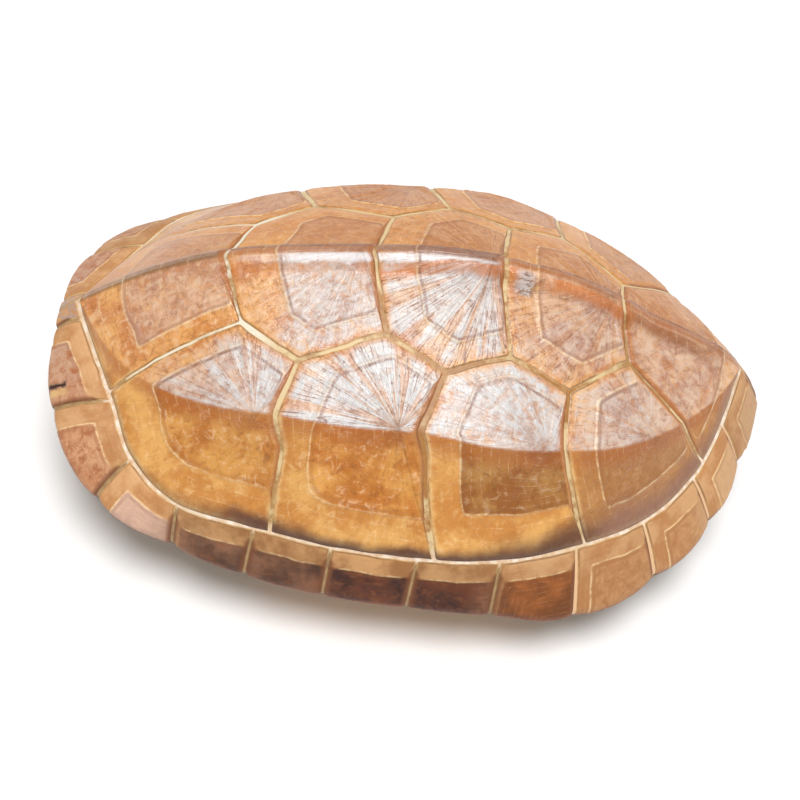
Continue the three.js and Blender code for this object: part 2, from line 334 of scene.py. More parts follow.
# ---------------------------------------------------------------- mesh building
class Surface:
    """Gathers the points, faces and painted values of several closed sheets into one mesh."""

    def __init__(self):
        self.points, self.quads, self.triangles, self.values, self.count = [], [], [], {}, 0

    def add(self, points, quads, triangles, values, flip=False):
        if flip:
            points = points * (1, -1, 1)
            quads, triangles = quads[:, ::-1], triangles[:, ::-1]
        self.points.append(points)
        self.quads.append(quads + self.count)
        self.triangles.append(triangles + self.count)
        for name, value in values.items():
            self.values.setdefault(name, []).append(np.broadcast_to(value, len(points)))
        self.count += len(points)

    def build(self, name, material):
        points = np.concatenate(self.points) * MM
        points = np.clip(points, tuple(CAD_BOX[0]), tuple(CAD_BOX[1]))
        quads, triangles = np.concatenate(self.quads), np.concatenate(self.triangles)
        mesh = bpy.data.meshes.new(name)
        mesh.vertices.add(len(points))
        mesh.vertices.foreach_set("co", points.ravel())
        corners = np.concatenate([quads.ravel(), triangles.ravel()])
        mesh.loops.add(len(corners))
        mesh.loops.foreach_set("vertex_index", corners)
        starts = [np.arange(len(quads)) * 4, len(quads) * 4 + np.arange(len(triangles)) * 3]
        mesh.polygons.add(len(quads) + len(triangles))
        mesh.polygons.foreach_set("loop_start", np.concatenate(starts))
        mesh.update(calc_edges=True)
        mesh.shade_smooth()
        for key, parts in self.values.items():
            layer = mesh.attributes.new(key, "FLOAT", "POINT")
            layer.data.foreach_set("value", np.concatenate(parts).astype(np.float32))
        mesh.materials.append(material)
        piece = bpy.data.objects.new(name, mesh)
        bpy.context.collection.objects.link(piece)
        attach(piece, "root")
        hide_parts("turtle_shell")
        return piece


def quads_of(grid):
    return np.stack([grid[:-1, :-1], grid[:-1, 1:], grid[1:, 1:], grid[1:, :-1]], axis=-1).reshape(-1, 4)


def closed_rings(rings, first_pole, last_pole):
    """Points and faces of a stack of closed rings with a pole at each end."""
    rows, columns = rings.shape[:2]
    points = np.concatenate([first_pole[None], rings.reshape(-1, 3), last_pole[None]])
    grid = 1 + np.arange(rows * columns).reshape(rows, columns)
    grid = np.concatenate([grid, grid[:, :1]], axis=1)
    here, there = grid[:, :-1], grid[:, 1:]
    triangles = np.concatenate([
        np.stack([np.zeros_like(here[0]), here[0], there[0]], axis=-1),
        np.stack([there[-1], here[-1], np.full_like(here[-1], len(points) - 1)], axis=-1),
    ])
    return points, quads_of(grid)[:, ::-1], triangles


# ---------------------------------------------------------------- scute outlines
def edge_of(points, posts, band, gap=HALF_GAP, soft=False):
    """One edge of a scute, with straight stretches between posts to measure its growth band from.

    Where two soft edges meet, the ring turns in a wide curve.
    """
    ends = list(zip(posts[:-1], posts[1:]))
    return {"points": points, "ends": ends, "band": band, "gap": gap, "soft": soft}


def line(a, b, band, gap=HALF_GAP, step=STEP):
    """A seam from a to b in plan, a little wavy, with the widths of its growth band and half gap."""
    low, high = np.array(sorted((a, b)), float)
    t = np.linspace(0, 1, max(2, round(norm(high - low) / step)), endpoint=False)
    if tuple(a) > tuple(b):
        t = 1 - t
    points = low + (high - low) * t[:, None]
    across = np.array([low[1] - high[1], high[0] - low[0]]) / norm(high - low)
    held = np.sin(np.pi * t) ** 0.5
    wave = (0.45 * noise(points, 6.0, 3) + 0.16 * noise(points, 1.8, 4)) * held
    return edge_of(points + wave[:, None] * across, (a, b), band, gap)


def bent_line(corners, band, gap=HALF_GAP, soft=False):
    """A seam through several corners."""
    parts = [line(a, b, band, gap)["points"] for a, b in zip(corners[:-1], corners[1:])]
    return edge_of(np.concatenate(parts), corners, band, gap, soft)


def stretch_of(place, start, end, samples, posts, step):
    """Evenly spaced points and a few posts along part of a curve."""
    length = norm(np.diff(place(np.linspace(start, end, samples)), axis=0)).sum()
    points = place(np.linspace(start, end, max(2, round(length / step)), endpoint=False))
    return points, place(np.linspace(start, end, posts))


def on_seam(k):
    return curve(DOME_SEAM, k)[..., :2]


def seam_corner(k):
    return tuple(on_seam(k))


def on_outline(row):
    """A point of the plastron's outline, by a row number that may lie between two rows."""
    return np.stack([spline(PLASTRON_ROWS, 1, row), spline(PLASTRON_ROWS, 2, row)], axis=-1)


def rim_line(k0, k1, band):
    """The stretch of the dome seam from k0 to k1."""
    return edge_of(*stretch_of(on_seam, k0, k1, 40, 7, STEP), band, soft=True)


def backwards(edge):
    """The same edge from its end to its start."""
    ends = [(b, a) for a, b in reversed(edge["ends"])]
    points = np.concatenate([edge["points"], [edge["ends"][-1][1]]])[:0:-1]
    return {**edge, "points": points, "ends": ends}


def to_left(edge):
    """The same edge on the other side of the midline."""
    ends = [(np.array(a) * (1, -1), np.array(b) * (1, -1)) for a, b in edge["ends"]]
    return {**edge, "points": edge["points"] * (1, -1), "ends": ends}


def inward_of(points):
    """Unit vectors that point into a closed outline."""
    along = np.roll(points, -1, axis=0) - np.roll(points, 1, axis=0)
    return unit(np.stack([-along[:, 1], along[:, 0]], axis=-1))


def inset(points, surface, amount):
    """Moves a closed outline inwards by a distance measured on the surface."""
    inward, flat = inward_of(points), np.zeros(len(points))
    stretch = norm(surface(points + 0.5 * inward, flat) - surface(points, flat)) / 0.5
    moved = points + inward * (amount / stretch)[:, None]
    for _ in range(3):
        moved = softened(moved)
    return moved


# ---------------------------------------------------------------- horn scutes
# Rings of points inside and outside the main ring, and under the sheet, as shares of the way out.
INNER_LEVELS = np.concatenate([np.linspace(0.04, 0.965, 33), [0.985, 0.995, 1.0]])
OUTER_LEVELS = np.concatenate([
    [0.01, 0.035], np.linspace(0.08, 0.9, 13), [0.93, 0.955, 0.972, 0.984, 0.993, 1.0],
])
BACK_LEVELS = np.array([0.985, 0.8, 0.6, 0.4, 0.2])
# Heights of the relief, in mm.
RING_STEP, RING_LIP, BAND_SWELL, ANNULUS_RISE, RIDGE_RISE, SUNK = 0.2, 0.1, 0.1, 0.05, 0.09, 0.14
WORN_HOLLOWS = ((0.13, 9.0, 11), (0.05, 3.2, 12), (0.025, 1.1, 13))  # depth, size, seed
ANNULI = 13.0  # faint growth rings from a scute's areola to its margin


def relief(points, growth, ring, margin, turn_at, seed, strength):
    """Height of a scute's relief: growth steps, radial ridges, worn hollows and a rounded edge."""
    inside = smooth(-ring / 0.7 + 0.5)
    step = RING_STEP * inside + RING_LIP * np.exp(-((ring / 0.3) ** 2))
    newest = np.clip((growth - RING_GROWTH) / (1 - RING_GROWTH), 0, 1)
    band = BAND_SWELL * np.sin(np.pi * newest) * (1 - inside)
    count = growth * ANNULI + 0.5 * noise(points, 9.0, seed)
    annuli = ANNULUS_RISE * (np.abs((count % 1.0) - 0.5) * 2.0) ** 3 * smooth(growth / 0.25)
    lines = np.concatenate([turn_at, growth[..., None] * 4.0 + seed * 3.1], axis=-1)
    fine_ridges = 0.7 * noise(lines * (1.9, 1.9, 1), 1.7, seed + 1)
    ridges = 1 - np.abs(noise(lines, 1.7, seed)) * 2.4 + fine_ridges
    fade = smooth((growth - 0.12) / 0.3) * (0.45 + 0.55 * inside)
    radial = RIDGE_RISE * ridges * fade * strength
    wear = sum(depth * noise(points, size, own) for depth, size, own in WORN_HOLLOWS)
    edge = -EDGE_DROP * np.exp(-np.maximum(margin, 0) / EDGE_ROUND)
    settled = smooth(margin / 1.2)
    return edge - SUNK + (step + band + annuli + radial + wear - 0.1) * settled


SOFT_CORNER, SHARP_CORNER = 2.2, 0.2  # how widely the main ring turns between two edges, in mm


def edge_room(points, edge):
    """How far points lie beyond an edge's band, on the inside."""
    starts, ends = np.array(edge["ends"], float).transpose(1, 0, 2)
    along = ends - starts
    off = points[..., None, :] - starts
    t = np.clip((off * along).sum(-1) / (along**2).sum(-1), 0, 1)
    return norm(off - t[..., None] * along).min(axis=-1) - edge["band"] - edge["gap"]


def least(rooms, radius):
    """The least of several distances, rounded off where two of them are about equal."""
    rooms = np.stack(rooms)
    lowest = rooms.min(axis=0)
    return lowest - radius * np.log(np.exp((lowest - rooms) / radius).sum(axis=0))


def ring_shares(centre, outline, edges):
    """For each ray from the centre to the outline, the share of it that lies inside the main ring.

    Also the cosine between each ray and the way across the ring.
    """
    shares = np.linspace(0.02, 1, 120)
    points = centre + shares[:, None, None] * (outline - centre)
    rooms = [edge_room(points, edge) for edge in edges if not edge["soft"]]
    soft_rooms = [edge_room(points, edge) for edge in edges if edge["soft"]]
    if soft_rooms:
        rooms.append(least(soft_rooms, SOFT_CORNER))
    room = least(rooms, SHARP_CORNER)
    clear = room >= 0
    index = np.where(clear.any(axis=0), len(shares) - 1 - clear[::-1].argmax(axis=0), 6)
    index = np.minimum(index, len(shares) - 2)
    rows = np.arange(len(outline))
    inner, outer = room[index, rows], room[index + 1, rows]
    step = shares[1] - shares[0]
    fall = np.maximum(inner - outer, 1e-6)
    share = shares[index] + step * np.clip(inner / fall, 0, 1)
    return share, np.clip(fall / (step * norm(outline - centre)), 0.25, 1)


def plate(group, edges, centre, surface, seed, flip=False, zones_of=None, paint=(1.0, 0.0, 0.3)):
    """Adds one scute: a polar sheet of growth rings round its areola, closed underneath.

    Its paint is how light its side is, how much its top is whitened by wear together with painted glare,
    and how strongly that top is rayed.
    """
    centre = np.array(centre, float)
    outline = np.concatenate([edge["points"] for edge in edges])
    gaps = np.concatenate([np.full(len(edge["points"]), edge["gap"]) for edge in edges])
    outline = inset(outline, surface, gaps * (1 + 0.65 * noise(outline, 4.0, 60)))
    arms = outline - centre
    ring_share, ring_cos = ring_shares(centre, outline, edges)
    edge_cos = np.clip(np.abs((arms * inward_of(outline)).sum(axis=1)) / norm(arms), 0.2, 1)

    ring_share = softened(softened(ring_share))
    wobble = 0.014 * noise(outline, 6.0, seed + 20) + 0.003 * noise(outline, 1.6, seed + 21)
    ring_share = np.clip(ring_share + wobble, 0.12, 0.965)
    outer = ring_share + OUTER_LEVELS[:, None] * (1 - ring_share)
    radius = np.concatenate([INNER_LEVELS[:, None] * ring_share, outer])
    growth = [INNER_LEVELS * RING_GROWTH, RING_GROWTH + OUTER_LEVELS * (1 - RING_GROWTH)]
    growth = np.broadcast_to(np.concatenate(growth)[:, None], radius.shape)
    plan = centre + radius[..., None] * arms
    flat = surface(plan, np.zeros(plan.shape[:2]))
    ray = travelled(flat)
    ring = (ray - ray[len(INNER_LEVELS) - 1]) * ring_cos
    margin = (ray[-1] - ray) * edge_cos

    # Each ray's place on a circle as long as the outline, so that streaks meet where it closes.
    along = np.cumsum(norm(np.diff(outline, axis=0, append=outline[:1])))
    angle = 2 * np.pi * along / along[-1]
    turn_at = np.stack([np.cos(angle), np.sin(angle)], axis=-1) * along[-1] / (2 * np.pi)
    turn_at = np.broadcast_to(turn_at, (*radius.shape, 2))

    shade, worn, rayed = paint
    zones = zones_of(plan * (1, -1) if flip else plan, flat) if zones_of else {}
    crown = smooth(zones["above"] / 0.8 + 0.5) if zones else 0.0
    lift = relief(flat, growth, ring, margin, turn_at, seed, 0.3 + 0.8 * crown * rayed)
    back_plan = centre + BACK_LEVELS[:, None, None] * arms
    back = surface(back_plan, np.full(back_plan.shape[:2], -PLATE_DEPTH))
    first = surface(centre[None], np.array([lift[0].mean()]))[0]
    last = surface(centre[None], np.array([-PLATE_DEPTH]))[0]
    points, quads, triangles = closed_rings(np.concatenate([surface(plan, lift), back]), first, last)

    def whole(values, pole, hidden=0.0):
        back_values = np.full(len(BACK_LEVELS) * len(arms) + 1, hidden)
        return np.concatenate([[pole], values.ravel(), back_values])

    values = {"shade": shade, "worn": worn, "rayed": rayed, "scute": float(seed)}
    values["growth"] = whole(growth, 0.0, 1.0)
    values["turn_x"], values["turn_y"] = whole(turn_at[..., 0], 0.0), whole(turn_at[..., 1], 0.0)
    for name, value in {"ring": ring, "margin": margin, **zones}.items():
        values[name] = whole(value, value[0].mean())
    if surface is under_plastron:
        quads, triangles = quads[:, ::-1], triangles[:, ::-1]
    group.add(points, quads, triangles, values, flip)


def dome_zones(plan, flat):
    """Where a point lies on the dome: how far above its lateral keel, and above the dome seam."""
    x, y = plan[..., 0], np.abs(plan[..., 1])
    fold = spline(LATERAL_KEEL, 1, x)
    seam_y, seam_z = seam_at(x)
    hem = np.hypot(seam_y - y, flat[..., 2] - seam_z)
    return {"above": fold - y, "hem": hem, "off_keel": plan[..., 1]}


def vertebral_scutes(material):
    """The five scutes along the median keel. Each areola is at the rear, on the keel."""
    seam_front, seam_rear = seam_corner(K_V1_C1), seam_corner(K_C4_V5)
    right = {
        1: [rim_line(K_FRONT, K_V1_C1, 7.6), line(seam_front, V1_V2_C1, 4.0, THIN),
            line(V1_V2_C1, V1_V2, 0.6)],
        2: [line(V1_V2, V1_V2_C1, 9.5), line(V1_V2_C1, C1_C2_V2, 5.8, WIDE),
            line(C1_C2_V2, V2_V3_C2, 4.0), line(V2_V3_C2, V2_V3, 0.6)],
        3: [line(V2_V3, V2_V3_C2, 8.0), line(V2_V3_C2, C2_C3_V3, 5.9),
            line(C2_C3_V3, V3_V4_C3, 4.4), line(V3_V4_C3, V3_V4, 0.6)],
        4: [line(V3_V4, V3_V4_C3, 6.4), line(V3_V4_C3, C3_C4_V4, 6.4),
            line(C3_C4_V4, V4_V5_C4, 3.0), line(V4_V5_C4, V4_V5, 0.6)],
        5: [line(V4_V5, V4_V5_C4, 0.6), line(V4_V5_C4, seam_rear, 0.8, THIN),
            rim_line(K_C4_V5, K_TAIL, 3.2)],
    }
    centres = {1: (-45.6, 0), 2: (-14.9, 0), 3: (12.8, 0), 4: (39.4, 0), 5: (65.5, 0)}
    # Each paint: side tone, how much of the top is whitened by wear and painted glare, and how strongly
    # it is rayed.
    paints = {
        1: (0.97, 0.3, 0.1), 2: (1.0, 0.8, 0.25), 3: (1.0, 0.9, 0.9), 4: (1.0, 0.42, 0.6),
        5: (1.0, 0.35, 0.35),
    }
    group = Surface()
    for number, half in right.items():
        edges = [to_left(edge) for edge in half] + [backwards(edge) for edge in reversed(half)]
        plate(group, edges, centres[number], on_dome, number, False, dome_zones, paints[number])
    return group.build("vertebral_scutes", material)


def costal_scutes(side, material):
    """The four large scutes of one side. Each areola is near the rear, on the lateral keel."""
    seam_front, seam_rear = seam_corner(K_V1_C1), seam_corner(K_C4_V5)
    first_second = (C1_C2_V2, *C1_C2_BENDS, seam_corner(K_C1_C2))
    second_third = (C2_C3_V3, *C2_C3_BENDS, seam_corner(K_C2_C3))
    third_fourth = (C3_C4_V4, *C3_C4_BENDS, seam_corner(K_C3_C4))
    layout = {
        1: [line(seam_front, V1_V2_C1, 4.2, THIN), line(V1_V2_C1, C1_C2_V2, 2.6, WIDE),
            bent_line(first_second, 0.8, WIDE), rim_line(K_C1_C2, 1.5, 6.1),
            rim_line(1.5, K_V1_C1, 6.9)],
        2: [line(C1_C2_V2, V2_V3_C2, 4.3), line(V2_V3_C2, C2_C3_V3, 2.4),
            bent_line(second_third, 0.9, 0.36), rim_line(K_C2_C3, K_C1_C2, 5.8),
            bent_line(first_second[:0:-1], 5.0, WIDE, True),
            line(first_second[1], first_second[0], 7.8, WIDE)],
        3: [line(C2_C3_V3, V3_V4_C3, 3.3), line(V3_V4_C3, C3_C4_V4, 3.0),
            bent_line(third_fourth, 0.9), rim_line(K_C3_C4, K_C2_C3, 6.4),
            bent_line(second_third[::-1], 6.4, 0.36)],
        4: [line(C3_C4_V4, V4_V5_C4, 3.4), line(V4_V5_C4, seam_rear, 1.6, THIN),
            rim_line(K_C4_V5, K_C3_C4, 4.2), bent_line(third_fourth[::-1], 6.2)],
    }
    centres = {1: (-33.0, 32.4), 2: (-4.2, 34.6), 3: (26.4, 33.8), 4: (50.5, 24.5)}
    # Each paint: side tone, how much of the top is whitened by wear and painted glare, and how strongly
    # it is rayed.
    paints = {1: (0.9, 0.95, 0.6), 2: (1.0, 1.0, 0.9), 3: (0.6, 1.0, 0.35), 4: (0.66, 0.6, 0.45)}
    group = Surface()
    left = side == "left"
    for number, edges in layout.items():
        seed = 10 * number + (1 if left else 2)
        plate(group, edges, centres[number], on_dome, seed, left, dome_zones, paints[number])
    return group.build(f"costal_scutes_{side}", material)


# ---------------------------------------------------------------- marginal scutes
# Grid of one scute: shares of its length, and values of v down it.
MARGINAL_COLUMNS = np.concatenate([
    [0, 0.008, 0.02, 0.04], np.linspace(0.07, 0.93, 33), [0.96, 0.98, 0.992, 1],
])
MARGINAL_ROWS = np.concatenate([
    [0, 0.012, 0.03, 0.055], np.linspace(0.09, 1.0, 20), np.linspace(1.08, 2.0, 10),
    np.linspace(2.12, 3.0, 7),
])
EDGE_ROW = 24  # the row just past the top
MARGINAL_DEPTH = 0.5
# Distance of the pale ring from the front seam and from the dome seam: number, front, upper.
MARGINAL_BANDS = np.array([
    (0, 4.6, 4.4), (2, 4.4, 4.2), (3, 1.6, 4.2), (7, 1.2, 4.2), (8, 3.2, 4.4), (11, 4.2, 4.0),
])


def marginal_scute(group, k0, k1, seed, flip, chip=None):
    """One scute of the edge, wrapped round it from the dome seam to the inner edge of the lip."""
    kk, vv = np.meshgrid(k0 + (k1 - k0) * MARGINAL_COLUMNS, MARGINAL_ROWS, indexing="ij")
    flat = marginal_point(kk, vv)
    along = travelled(flat)
    down = travelled(flat.transpose(1, 0, 2)).T
    width = along[-1:]
    shrink = 0.8 * HALF_GAP / width
    kk = k0 + (k1 - k0) * (shrink + (1 - 2 * shrink) * MARGINAL_COLUMNS[:, None])
    uneven = 1 + 0.8 * noise(flat[:, :1], 3.0, 61)
    vv = vv + (HALF_GAP / down[:, EDGE_ROW : EDGE_ROW + 1]) * uneven * np.clip(1 - vv, 0, 1)
    flat = marginal_point(kk, vv)
    normal = grid_normals(flat)
    front_band, upper_band = (spline(MARGINAL_BANDS, column, max(k0, 0)) for column in (1, 2))
    ring = np.maximum(front_band - along, upper_band - down) + 0.2 * noise(flat, 2.5, 8)
    growth = np.clip(RING_GROWTH + ring / 16.0, 0, 1)
    margin = np.minimum(np.minimum(along, width - along), down)
    turn_x, turn_y = along + 0.35 * down, np.zeros_like(down)
    turn_at = np.stack([turn_x, turn_y], axis=-1)
    lift = relief(flat, growth, ring, margin, turn_at, seed, 0.35) + 0.05
    lift = lift * smooth((3.2 - vv) / 0.6)
    chipped = np.zeros_like(kk) if chip is None else chip(kk, vv)
    lift = lift - 0.25 * chipped
    top = flat + lift[..., None] * normal
    back = flat - MARGINAL_DEPTH * normal

    grid = np.arange(kk.size).reshape(kk.shape)
    rim = np.concatenate([grid[0, :-1], grid[:-1, -1], grid[-1, :0:-1], grid[:0:-1, 0]])
    rim_under = rim + kk.size
    walls = np.stack([rim, rim_under, np.roll(rim_under, -1), np.roll(rim, -1)], axis=-1)
    quads = np.concatenate([quads_of(grid), quads_of(grid + kk.size)[:, ::-1], walls])
    points = np.concatenate([top.reshape(-1, 3), back.reshape(-1, 3)])
    values = {
        "worn": 0.0,
        "rayed": 0.0,
        "shade": 0.88 + 0.2 * lattice(np.int64(seed), np.int64(7), np.int64(3)),
        "scute": float(seed),
        "side": -1.0 if flip else 1.0,
    }
    on_top = {
        "growth": growth, "ring": ring, "margin": margin, "turn_x": turn_x, "turn_y": turn_y,
        "around": kk, "across": vv, "chip": chipped,
    }
    for name, value in on_top.items():
        values[name] = np.concatenate([value.ravel(), np.zeros(kk.size)])
    group.add(points, quads, np.zeros((0, 3), np.int64), values, flip)


def edge_chip(kk, vv):
    """The small hooked chip in the edge of the first left marginal."""
    hook = 0.765 - 0.045 * smooth((0.76 - vv) / 0.12) + 0.012 * noise(vv[..., None], 0.1, 5)
    half_width = 0.027 + 0.014 * smooth((0.8 - vv) / 0.1) + 0.01 * noise(vv[..., None], 0.06, 6)
    across = smooth((vv - 0.62) / 0.12) * smooth((1.7 - vv) / 0.4)
    return np.exp(-(((kk - hook) / half_width) ** 2)) * across


def marginal_scutes(material):
    group = Surface()
    for flip in (False, True):
        for number in range(12):
            seed = 100 + number + (20 if flip else 0)
            chip = edge_chip if flip and number == 0 else None
            marginal_scute(group, float(number), number + 1.0, seed, flip, chip)
    marginal_scute(group, K_FRONT, 0.0, 140, False)
    marginal_scute(group, K_FRONT, 0.0, 141, True)
    return group.build("marginal_scutes", material)


# ---------------------------------------------------------------- bone body of the carapace
BODY_COLUMNS = 150
BODY_RINGS = 60  # rings of the dome, from its top down to its seam
BARE_FROM = BODY_RINGS + 22  # the ring under the lip from which the bone is bare
SPINE_RISE, SPINE_HALF_WIDTH = 2.2, 2.4
RIB_RISE, RIB_HALF_WIDTH, RIB_SPACING = 0.55, 2.2, 14.0


def whole_loop(half):
    """A ring of the right side closed over the midline with its mirror image."""
    half = half.copy()
    half[..., 0, 1] = half[..., -1, 1] = 0
    return np.concatenate([half, half[..., -2:0:-1, :] * (1, -1, 1)], axis=-2)


def carapace_body(material):
    """Seam tissue outside and bare bone inside, with the spine and ribs grown onto the bone."""
    k = np.linspace(K_FRONT, K_TAIL, BODY_COLUMNS + 1)
    share = np.linspace(0, 1, BODY_RINGS + 1)[1:, None, None]
    plan = curve(DOME_SEAM, k)[None, :, :2] * share
    outer = on_dome(plan, np.full(plan.shape[:2], -BODY_DEPTH))
    v = np.concatenate([np.linspace(0.08, 1, 12), np.linspace(1.1, 2, 8), np.linspace(2.2, 3, 5)])
    kk, vv = np.meshgrid(k, v, indexing="ij")
    band = marginal_point(kk, vv)
    band = (band - BODY_DEPTH * grid_normals(band)).transpose(1, 0, 2)
    inner_share = np.linspace(0.97, 0, 31)[:-1, None, None]
    inner_plan = curve(DOME_SEAM, k)[None, :, :2] * inner_share
    x, y = inner_plan[..., 0], inner_plan[..., 1]
    spine = SPINE_RISE * np.exp(-((y / SPINE_HALF_WIDTH) ** 2))
    spine = spine * smooth((70 - np.abs(x)) / 12) * (1 + 0.25 * np.cos(x * 0.75))
    off_rib = (x + 4) % RIB_SPACING - RIB_SPACING / 2
    ribs = RIB_RISE * np.exp(-((off_rib / RIB_HALF_WIDTH) ** 2))
    ribs = ribs * smooth((y - 3) / 6) * smooth((44 - y) / 10)
    inner = on_dome(inner_plan, -WALL - spine - ribs)
    rings = np.concatenate([whole_loop(outer), whole_loop(band), whole_loop(inner)])
    apex = on_dome(np.zeros((1, 2)), np.array([-BODY_DEPTH]))[0]
    under = on_dome(np.zeros((1, 2)), np.array([-WALL - 2.6]))[0]
    points, quads, triangles = closed_rings(rings, apex, under)
    columns = rings.shape[1]
    number = np.arange(len(rings))
    inside = np.repeat(number >= BARE_FROM, columns).astype(float)
    rim = np.repeat(smooth((number - BODY_RINGS + 3) / 2), columns)
    edge = np.repeat(smooth((number - BODY_RINGS + 0.5) / 1.5), columns)
    values = {
        "inside": np.concatenate([[0], inside, [1]]),
        "rim": np.concatenate([[0], rim, [0]]),
        "edge": np.concatenate([[0], edge, [0]]),
    }
    body = Surface()
    body.add(points, quads[:, ::-1], triangles[:, ::-1], values)
    return body.build("carapace_body", material)


# ---------------------------------------------------------------- plastron
def plastron_body(material):
    last = len(PLASTRON_ROWS) - 1
    edge = on_outline(np.linspace(0, last, 6 * last + 1))
    reach = np.maximum(norm(edge), 8.0)
    lowest = UNDER_LIFT + BODY_DEPTH
    half = (PLASTRON_THICKNESS - lowest) / 2

    def ring(share, height):
        plan = edge * np.reshape(share, (-1, 1))
        return np.column_stack([plan, plastron_height(plan[:, 0], plan[:, 1]) + height])

    shares = np.linspace(0.03, 0.94, 30)
    top = [ring(share, PLASTRON_THICKNESS) for share in shares]
    around = [
        ring(1 - half * (1 - np.sin(turn)) / reach, lowest + half * (1 + np.cos(turn)))
        for turn in np.linspace(0, np.pi, 9)
    ]
    bottom = [ring(share, lowest) for share in shares[::-1]]
    rings = whole_loop(np.array(top + around + bottom))
    poles = np.array([(0, 0, PLASTRON_THICKNESS), (0, 0, lowest)])
    points, quads, triangles = closed_rings(rings, *poles)
    inside = np.repeat(np.arange(len(rings)) < len(top) + 2, rings.shape[1]).astype(float)
    body = Surface()
    values = {"inside": np.concatenate([[1], inside, [0]]), "rim": 0.0, "edge": 0.0}
    body.add(points, quads[:, ::-1], triangles[:, ::-1], values)
    return body.build("plastron_body", material)


def plastron_scutes(material):
    """Six pairs of scutes under the plastron."""
    middle = [(-69.0, 0.0), (-54, 0.0), (-39, 0.0), (-13, 0.0), (15, 0.0), (43, 0.0), (63.5, 0.0)]
    rows = [0.0, 3.2, 6.2, 12.0, 17.0, 20.0, float(len(PLASTRON_ROWS) - 1)]
    group = Surface()
    for side in ("right", "left"):
        for i in range(6):
            front, rear = (tuple(float(v) for v in on_outline(rows[n])) for n in (i, i + 1))
            edges = [line(front, middle[i], 3.0, step=PLASTRON_STEP)] if i > 0 else []
            edges.append(line(middle[i], middle[i + 1], 1.6, step=PLASTRON_STEP))
            if i < 5:
                edges.append(line(middle[i + 1], rear, 2.4, step=PLASTRON_STEP))
            path = on_outline(np.linspace(rows[i + 1], rows[i], 60))
            points, _ = stretch_of(on_outline, rows[i + 1], rows[i], 60, 2, PLASTRON_STEP)
            edges.append(edge_of(points, path[::10], 2.5))
            centre = np.concatenate([edge["points"] for edge in edges]).mean(axis=0)
            seed = 200 + i + (10 if side == "left" else 0)
            plate(group, edges, centre, under_plastron, seed, side == "left")
    return group.build("plastron_scutes", material)


# ---------------------------------------------------------------- shader values
def linear(colour):
    """A colour given as 0 to 255 sRGB, as the linear values that a shader takes."""
    return (*(((c / 255 + 0.055) / 1.055) ** 2.4 if c > 10 else c / 255 / 12.92 for c in colour), 1.0)


def put(socket, value):
    """Links a value to an input, or sets the input to a plain number or colour."""
    if isinstance(value, Value):
        socket.id_data.links.new(value.socket, socket)
    else:
        socket.default_value = value


def add_node(tree, kind, inputs, output=0, **settings):
    """Adds a node with its settings and inputs. Returns one of its outputs as a value."""
    node = tree.nodes.new("ShaderNode" + kind)
    for name, setting in settings.items():
        setattr(node, name, setting)
    for key, value in inputs.items():
        put(node.inputs[key], value)
    return Value(node.outputs[output])


class Value:
    """A number or colour that a material's nodes work out. Arithmetic on it adds Math nodes."""

    def __init__(self, socket):
        self.socket = socket

    def math(self, operation, *numbers):
        return add_node(self.socket.id_data, "Math", dict(enumerate(numbers)), operation=operation)

    def __add__(self, other):
        return self.math("ADD", self, other)

    def __sub__(self, other):
        return self.math("SUBTRACT", self, other)

    def __rsub__(self, other):
        return self.math("SUBTRACT", other, self)

    def __mul__(self, other):
        return self.math("MULTIPLY", self, other)

    def __truediv__(self, other):
        return self.math("DIVIDE", self, other)

    def __abs__(self):
        return self.math("ABSOLUTE", self)


def tree_of(*values):
    return next(value.socket.id_data for value in values if isinstance(value, Value))


def either(a, b):
    """The greater of two values."""
    return a.math("MAXIMUM", a, b)


def ramp(value, low, high):
    """0 below low, 1 above high, and a soft ramp between; low may be above high."""
    inputs = {
        "Value": value,
        "From Min": min(low, high),
        "From Max": max(low, high),
        "To Min": float(low > high),
        "To Max": float(low <= high),
    }
    return add_node(tree_of(value), "MapRange", inputs, "Result", interpolation_type="SMOOTHSTEP")


def mix(share, a, b, blend="MIX"):
    """Colour a where the share is 0, and b where it is 1. Plain colours are 0 to 255 sRGB."""
    a, b = (colour if isinstance(colour, Value) else linear(colour) for colour in (a, b))
    inputs = {0: share, 6: a, 7: b}
    return add_node(tree_of(share, a, b), "Mix", inputs, 2, data_type="RGBA", blend_type=blend)


def over(colour, *layers):
    """Lays further colours over one, each by its own share."""
    for share, layer in layers:
        colour = mix(share, colour, layer)
    return colour


def combine(x, y, z):
    return add_node(tree_of(x, y, z), "CombineXYZ", {0: x, 1: y, 2: z})


def toned(tone, colour):
    return mix(1.0, colour, combine(tone, tone, tone), "MULTIPLY")


def bump(height, depth, strength, under=None):
    """Small relief on top of another normal: depth is in millimetres for a height of 1."""
    inputs = {"Strength": strength, "Distance": depth * MM, "Height": height}
    if under is not None:
        inputs["Normal"] = under
    return add_node(tree_of(height), "Bump", inputs)


